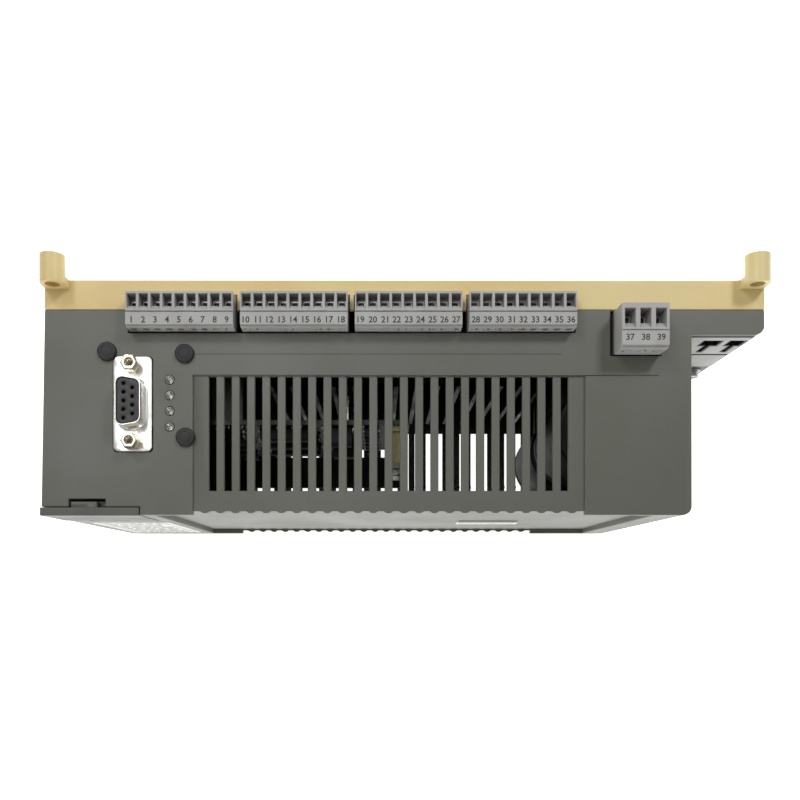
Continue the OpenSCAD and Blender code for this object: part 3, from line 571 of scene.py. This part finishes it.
def makeShell():
    d = dConnector
    x, y, face = d["x"], d["y"], d["face"]
    shell = bmesh.new()
    halfX, halfY = d["width"] / 2, d["length"] / 2
    rim = roundedOutline(boxOutline(x - halfX, y - halfY, x + halfX, y + halfY), d["corner"])
    screwHoles = [ringOutline(x, y + side * d["screwStep"] / 2, d["screwHole"]) for side in (-1, 1)]
    sheet, wall, fit = d["flangeSheet"], d["shellWall"], 0.02
    plate(shell, [rim, dOutline(0.05)] + screwHoles, face - sheet, face, 0.12)
    plate(shell, [dOutline(wall), dOutline(fit)], face - wall, face + d["shellRise"], 0.1)
    plate(shell, [dOutline(sheet), dOutline(fit)], face - d["rearShell"], face - 0.75, 0.1)
    # the drawn foot where the shell rises from the flange
    foot, steps = d["foot"], 5
    rings = []
    for step in range(steps + 1):
        angle = math.pi / 2 * step / steps
        outline = dOutline(wall - fit + foot * (1 - math.sin(angle)))
        height = face - fit + foot * (1 - math.cos(angle))
        rings.append([shell.verts.new((point.x * mm, point.y * mm, height * mm)) for point in outline])
    for lower, upper in zip(rings, rings[1:]):
        for index in range(len(lower)):
            shell.faces.new([lower[index - 1], lower[index], upper[index], upper[index - 1]])
    finishPiece(shell, "dShell", "tinPlate", "drive", ["dsub_flange"], 40)


def makeSockets():
    # five contacts in the long row and four in the short one
    d = dConnector
    x, y, face = d["x"], d["y"], d["face"]
    sockets = [(x - d["rowStep"] / 2, y + (index - 2) * d["pinPitch"]) for index in range(5)]
    sockets += [(x + d["rowStep"] / 2, y + (index - 1.5) * d["pinPitch"]) for index in range(4)]
    insulator = bmesh.new()
    holes = [ringOutline(*socket, d["socketHole"], 16) for socket in sockets]
    plate(insulator, [dOutline(-0.03)] + holes, d["board"] + 0.6, face + d["shellRise"] - 0.5, 0.28)
    finishPiece(insulator, "dInsulator", "insulatorPbt", "drive", ["dsub_insulator"])
    contacts = bmesh.new()
    for socket in sockets:
        tube = [ringOutline(*socket, d["socketRadius"], 16), ringOutline(*socket, d["socketBore"], 16)]
        plate(contacts, tube, d["board"] + 0.7, face + d["socketTop"], 0.05)
    finishPiece(contacts, "socketContacts", "goldFlash", "drive", ["dsub_contacts"])


def makeJackscrews():
    d, j = dConnector, jackscrew
    x, face = d["x"], d["face"]
    screws = bmesh.new()
    for side in (-1, 1):
        y = d["y"] + side * d["screwStep"] / 2
        plate(screws, [ringOutline(x, y, j["hexRadius"], 6), ringOutline(x, y, j["bore"], 24)],
              face, face + j["rise"], 0.32)
        plate(screws, [ringOutline(x, y, j["shank"], 24)], d["board"] + 0.1, face + 0.4, 0.1)
        # thread turns inside the bore
        for turn in range(j["turns"]):
            height = face + j["threadStart"] + turn * j["threadPitch"]
            plate(screws, [ringOutline(x, y, j["threadOuter"]), ringOutline(x, y, j["threadInner"])],
                  height, height + j["threadHeight"], 0.1, 1)
    finishPiece(screws, "jackscrewPair", "nickelPlate", "drive", ["jackscrews"])


makeShell()
makeSockets()
makeJackscrews()
print("D connector is made")


# lamps and board rivets

topFace = 50.75  # height of the cover's upper face
lampRow = {"lamps": 4, "x": -76.5, "firstY": -38.8, "pitch": 5.08, "radius": 1.45, "rim": 0.2, "tip": 51.95,
           "foot": 46.0, "cup": 0.95, "legStep": 1.27, "legHalf": 0.25, "legEnd": 41.5}
rivets = {"places": [(-96.8, -29.7), (-71.6, -30.4), (-71.3, -57.6)], "radius": 3.1, "rise": 1.4, "pin": 1.75,
          "shank": 1.5, "barb": 2.05, "end": 38.5}


def makeLampRow():
    lens = bmesh.new()
    cups = bmesh.new()
    x, radius, tip, foot, cup = (lampRow[key] for key in ("x", "radius", "tip", "foot", "cup"))
    rim, legHalf = radius + lampRow["rim"], lampRow["legHalf"]
    dome = [(0, foot), (rim, foot), (rim, foot + 0.7), (radius, foot + 0.8)] + arc(radius, tip, radius, 6)
    dome[-1] = (0, tip)
    # reflector cup and post, cast inside the lens
    cupSide = [(0, foot + 0.4), (0.35, foot + 0.4), (0.4, tip - 2.6), (cup, tip - 1.55),
               (cup - 0.12, tip - 1.5), (0.35, tip - 2.2), (0, tip - 2.25)]
    for index in range(lampRow["lamps"]):
        y = lampRow["firstY"] - index * lampRow["pitch"]
        turned(lens, dome, at(x, y, 0), 28)
        turned(cups, cupSide, at(x, y, 0), 20)
        for side in (-1, 1):
            leg = y + side * lampRow["legStep"]
            block(cups, (x - legHalf, leg - legHalf, lampRow["legEnd"]),
                  (x + legHalf, leg + legHalf, foot + 0.3))
    finishPiece(lens, "lampLenses", "lampEpoxy", "drive", ["status_leds"], 40)
    finishPiece(cups, "lampCups", "tinPlate", "drive")


def makeRivets():
    # low head with a fine groove round its expanding pin, and a small moulding mark
    bm = bmesh.new()
    radius, pin, shank, barb, end = (rivets[key] for key in ("radius", "pin", "shank", "barb", "end"))
    seat, top = topFace + 0.02, topFace + rivets["rise"]
    foot = [(0, end), (barb - 0.15, end), (barb, end + 0.5), (shank, end + 1.5), (shank, seat),
            (radius, seat)]
    groove = [(pin + 0.08, top - 0.12), (pin + 0.04, top - 0.2), (pin, top - 0.2)]
    side = foot + arc(radius, top - 0.12, 0.55) + groove + arc(pin, top - 0.1, 0.08) + [(0, top - 0.09)]
    for x, y in rivets["places"]:
        turned(bm, side, at(x, y, 0), 40)
        block(bm, (x + 0.3, y - 2.3, top - 0.2), (x + 1.3, y - 1.95, top), 0.05)
    finishPiece(bm, "boardRivetHeads", "blackNylon", "drive", ["board_rivets"], 40)


makeLampRow()
makeRivets()
print("lamps and rivets are made")


# terminal numbers

numbers = {"height": 2.05, "ink": 0.02, "fontSize": 3, "heavier": 0.06}
plugRow = {"plugs": 4, "firstX": -72.2, "step": 36.67, "y": -20.9, "top": 56.25, "poles": 9, "pitch": 3.81,
           "widest": 2.7}
auxRow = {"x": 75.8, "y": -27.5, "top": 59.75, "poles": 3, "pitch": 4.9, "widest": 3.2}


def addNumber(bm, text, x, y, z, widest):
    # one printed number, squeezed where it would be wider than its pole
    curve = bpy.data.curves.new("number", "FONT")
    curve.body = text
    curve.size = numbers["fontSize"] * mm
    curve.extrude = numbers["ink"] * mm
    curve.offset = numbers["heavier"] * mm
    curve.resolution_u = 3
    holder = bpy.data.objects.new("number", curve)
    mesh = bpy.data.meshes.new_from_object(holder)
    bpy.data.objects.remove(holder)
    part = bmesh.new()
    part.from_mesh(mesh)
    bpy.data.meshes.remove(mesh)
    bmesh.ops.remove_doubles(part, verts=part.verts, dist=0.0005 * mm)
    low = [min(vert.co[axis] for vert in part.verts) for axis in (0, 1)]
    high = [max(vert.co[axis] for vert in part.verts) for axis in (0, 1)]
    tall = numbers["height"] * mm / (high[1] - low[1])
    wide = min(tall, widest * mm / (high[0] - low[0]))
    centre = Matrix.Translation((-(low[0] + high[0]) / 2, -(low[1] + high[1]) / 2, 0))
    merge(bm, part, at(x, y, z) @ Matrix.Diagonal((wide, tall, 1, 1)) @ centre)


def makeNumbers():
    def addRow(bm, row, middle, first):
        for pole in range(row["poles"]):
            x = middle + (pole - (row["poles"] - 1) / 2) * row["pitch"]
            addNumber(bm, str(first + pole), x, row["y"], row["top"], row["widest"])

    for plug in range(plugRow["plugs"]):
        bm = bmesh.new()
        addRow(bm, plugRow, plugRow["firstX"] + plug * plugRow["step"], plug * plugRow["poles"] + 1)
        finishPiece(bm, f"numbersPlug{plug + 1}", "printInk", f"plug_{plug + 1}",
                    smoothAngle=20)
    bm = bmesh.new()
    addRow(bm, auxRow, auxRow["x"], plugRow["plugs"] * plugRow["poles"] + 1)
    finishPiece(bm, "numbersAuxPlug", "printInk", "aux_plug_body", smoothAngle=20)


makeNumbers()
print("terminals are numbered")


# front plates

label = {"left": -113.5, "right": -85, "low": -38.5, "high": 19.5, "back": -82.9, "front": -83.05,
         "ink": -83.08, "corner": 1.5, "margin": 2, "rows": 7, "rowStep": 8.95, "rule": 0.3, "lineStep": 3.4,
         "seed": 11}
badge = {"left": 22, "right": 45.5, "low": -8.6, "high": -0.4, "back": -80.9, "face": -81.4, "front": -81.7,
         "rim": 0.7, "corner": 0.8, "innerCorner": 0.5}
facingFront = Matrix.Rotation(math.pi / 2, 4, "X")  # turns a plate from the XY plane to face -Y


def makeLabel():
    film = bmesh.new()
    box = boxOutline(label["left"], label["low"], label["right"], label["high"])
    rim = roundedOutline(box, label["corner"])
    plate(film, [rim], -label["back"], -label["front"], 0.03, 1)
    bmesh.ops.transform(film, matrix=facingFront, verts=film.verts)
    finishPiece(film, "ratingFilm", "labelFilm", "drive", ["rating_plate"])
    # ruled boxes and bars of greeked wording, since the real wording is left out
    ink = bmesh.new()
    draw = random.Random(label["seed"])
    margin, rule = label["margin"], label["rule"]
    left, right = label["left"] + margin, label["right"] - margin

    def bar(x0, z0, x1, z1):
        block(ink, (x0, label["ink"], z0), (x1, label["front"] + 0.02, z1))

    for x in (left, right - rule):
        bar(x, label["low"] + margin, x + rule, label["high"] - margin)
    for row in range(label["rows"]):
        z = label["low"] + margin + row * label["rowStep"]
        bar(left, z, right, z + rule)
        if row < label["rows"] - 1:
            for line in range(2):
                foot = z + 2 + line * label["lineStep"]
                x = left + 1.2
                while x < right - 4:
                    word = draw.uniform(1.5, 4.5)
                    bar(x, foot, min(x + word, right - 1), foot + 1)
                    x += word + 1.1
    finishPiece(ink, "ratingRules", "printInk", "drive", smoothAngle=20)


def makeBadge():
    # a plain inset plate with a raised rim; its near-white colour is a painted highlight along the front
    bm = bmesh.new()
    left, right, low, high = (badge[key] for key in ("left", "right", "low", "high"))
    inset = badge["rim"]
    rim = roundedOutline(boxOutline(left, low, right, high), badge["corner"])
    window = boxOutline(left + inset, low + inset, right - inset, high - inset)
    frameHole = roundedOutline(window, badge["innerCorner"])
    plate(bm, [rim], -badge["back"], -badge["face"], 0.05)
    plate(bm, [rim, frameHole], -badge["face"] - 0.1, -badge["front"], 0.1)
    bmesh.ops.transform(bm, matrix=facingFront, verts=bm.verts)
    finishPiece(bm, "badgeInset", "badgeAbs", "drive", ["badge_plate"])


makeLabel()
makeBadge()
print("front plates are made")


# what shows through the louvres and openings

capacitor = {"x": 65.8, "y": -54, "radius": 15, "length": 41, "feet": (-44, 3), "bead": 0.35, "rim": 2.4,
             "cross": 7}
chip = {"leadPitch": 1.27, "leadHalf": 0.22, "leadSpan": 0.75, "leadThick": 0.2, "bodyInset": 0.6}
# surface-mount parts; keepOut lists boxes (left, low, right, high) with pillars, screws or the cut corner
smallPart = {"front": -51.6, "count": 150, "tries": 1200, "seed": 5, "long": 1.6, "wide": 0.8, "cap": 0.25,
             "area": ((-64, 0), (-40, 39)), "gap": 1.6,
             "keepOut": [(-23, 17, -18, 23), (-23, -9, -18, -3), (-53, -43, 3, -12), (-64, -32, -58, -26),
                         (-64, 26, -58, 32)]}


def makeCapacitors():
    sleeves = bmesh.new()
    ends = bmesh.new()
    radius, length, bead, cross = (capacitor[key] for key in ("radius", "length", "bead", "cross"))
    inner = radius - capacitor["rim"]
    # the sleeve narrows in a bead above its foot
    foot = [(0, 0.1), (radius - 1.6, 0.1), (radius - 0.5, 0.45), (radius - 0.02, 1.4)]
    neck = [(radius, 3.6), (radius - bead, 4.2), (radius - bead, 5), (radius, 5.6)]
    top = [(inner, length), (inner, length - bead), (0, length - bead)]
    can = foot + neck + arc(radius, length, 1.2) + top
    deck = [(0, length - 0.36), (inner - 0.1, length - 0.36), (inner - 0.1, length - 0.15),
            (0, length - 0.15)]
    for height in capacitor["feet"]:
        place = at(capacitor["x"], capacitor["y"], height)
        turned(sleeves, can, place, 56)
        # black phenolic deck with a raised cross that marks the poles
        turned(ends, deck, place, 40)
        for turn in (45, 135):
            vent = bmesh.new()
            block(vent, (-cross, -0.3, length - 0.2), (cross, 0.3, length - 0.05), 0.05)
            merge(ends, vent, place @ Matrix.Rotation(math.radians(turn), 4, "Z"))
    finishPiece(sleeves, "capacitorSleeves", "capacitorSleeve", "drive",
                ["bus_capacitors"], 40)
    finishPiece(ends, "capacitorDecks", "blackNylon", "drive")


def makeChips():
    bodies = bmesh.new()
    leads = bmesh.new()
    inset, half, pitch = chip["bodyInset"], chip["leadHalf"], chip["leadPitch"]
    for low, high in loosePieces("logic_chips"):
        # bodies stand a little off the board on gull-wing leads
        board = high[1]
        block(bodies, (low[0] + inset, low[1], low[2] + 0.1),
              (high[0] - inset, board - 0.25, high[2] - 0.1), 0.15)
        count = int((high[2] - low[2] - 1) / pitch)
        for index in range(count + 1):
            z = (low[2] + high[2]) / 2 + (index - count / 2) * pitch
            for edge, inward in ((low[0], 1), (high[0], -1)):
                x = sorted((edge, edge + inward * chip["leadSpan"]))
                block(leads, (x[0], board - 1, z - half), (x[1], board - 0.8, z + half))
                x = sorted((edge, edge + inward * chip["leadThick"]))
                block(leads, (x[0], board - 0.9, z - half), (x[1], board - 0.02, z + half))
    finishPiece(bodies, "chipBodies", "chipEpoxy", "drive", ["logic_chips"])
    finishPiece(leads, "chipLeads", "tinPlate", "drive", smoothAngle=20)


def makeSmallParts():
    # surface-mount resistors and capacitors on the free parts of the control board
    ceramics = bmesh.new()
    caps = bmesh.new()
    draw = random.Random(smallPart["seed"])
    (areaLeft, areaRight), (areaLow, areaHigh) = smallPart["area"]
    front, cap, gap, half = smallPart["front"], smallPart["cap"], smallPart["gap"], smallPart["wide"] / 2
    neighbours = loosePieces("logic_chips") + loosePieces("pulse_transformers")
    busy = [(low[0], low[2], high[0], high[2]) for low, high in neighbours] + smallPart["keepOut"]
    placed = 0
    for attempt in range(smallPart["tries"]):
        x, z = draw.uniform(areaLeft, areaRight), draw.uniform(areaLow, areaHigh)
        lying = draw.random() < 0.5
        if any(x0 - gap < x < x1 + gap and z0 - gap < z < z1 + gap for x0, z0, x1, z1 in busy):
            continue
        busy.append((x - half, z - half, x + half, z + half))
        w, h = (smallPart["long"], smallPart["wide"]) if lying else (smallPart["wide"], smallPart["long"])
        left, low = x - w / 2, z - h / 2
        block(ceramics, (left + 0.2, front - 0.55, low + 0.2), (left + w - 0.2, front - 0.02, low + h - 0.2))
        if lying:
            ends = ((left, cap, low, h), (left + w - cap, cap, low, h))
        else:
            ends = ((left, w, low, cap), (left, w, low + h - cap, cap))
        for x0, wide, z0, tall in ends:
            block(caps, (x0, front - 0.57, z0), (x0 + wide, front - 0.01, z0 + tall))
        placed += 1
        if placed == smallPart["count"]:
            break
    finishPiece(ceramics, "smallPartBodies", "chipEpoxy", "drive", smoothAngle=20)
    finishPiece(caps, "smallPartEnds", "tinPlate", "drive", smoothAngle=20)


makeCapacitors()
makeChips()
makeSmallParts()
print("inner parts are made")
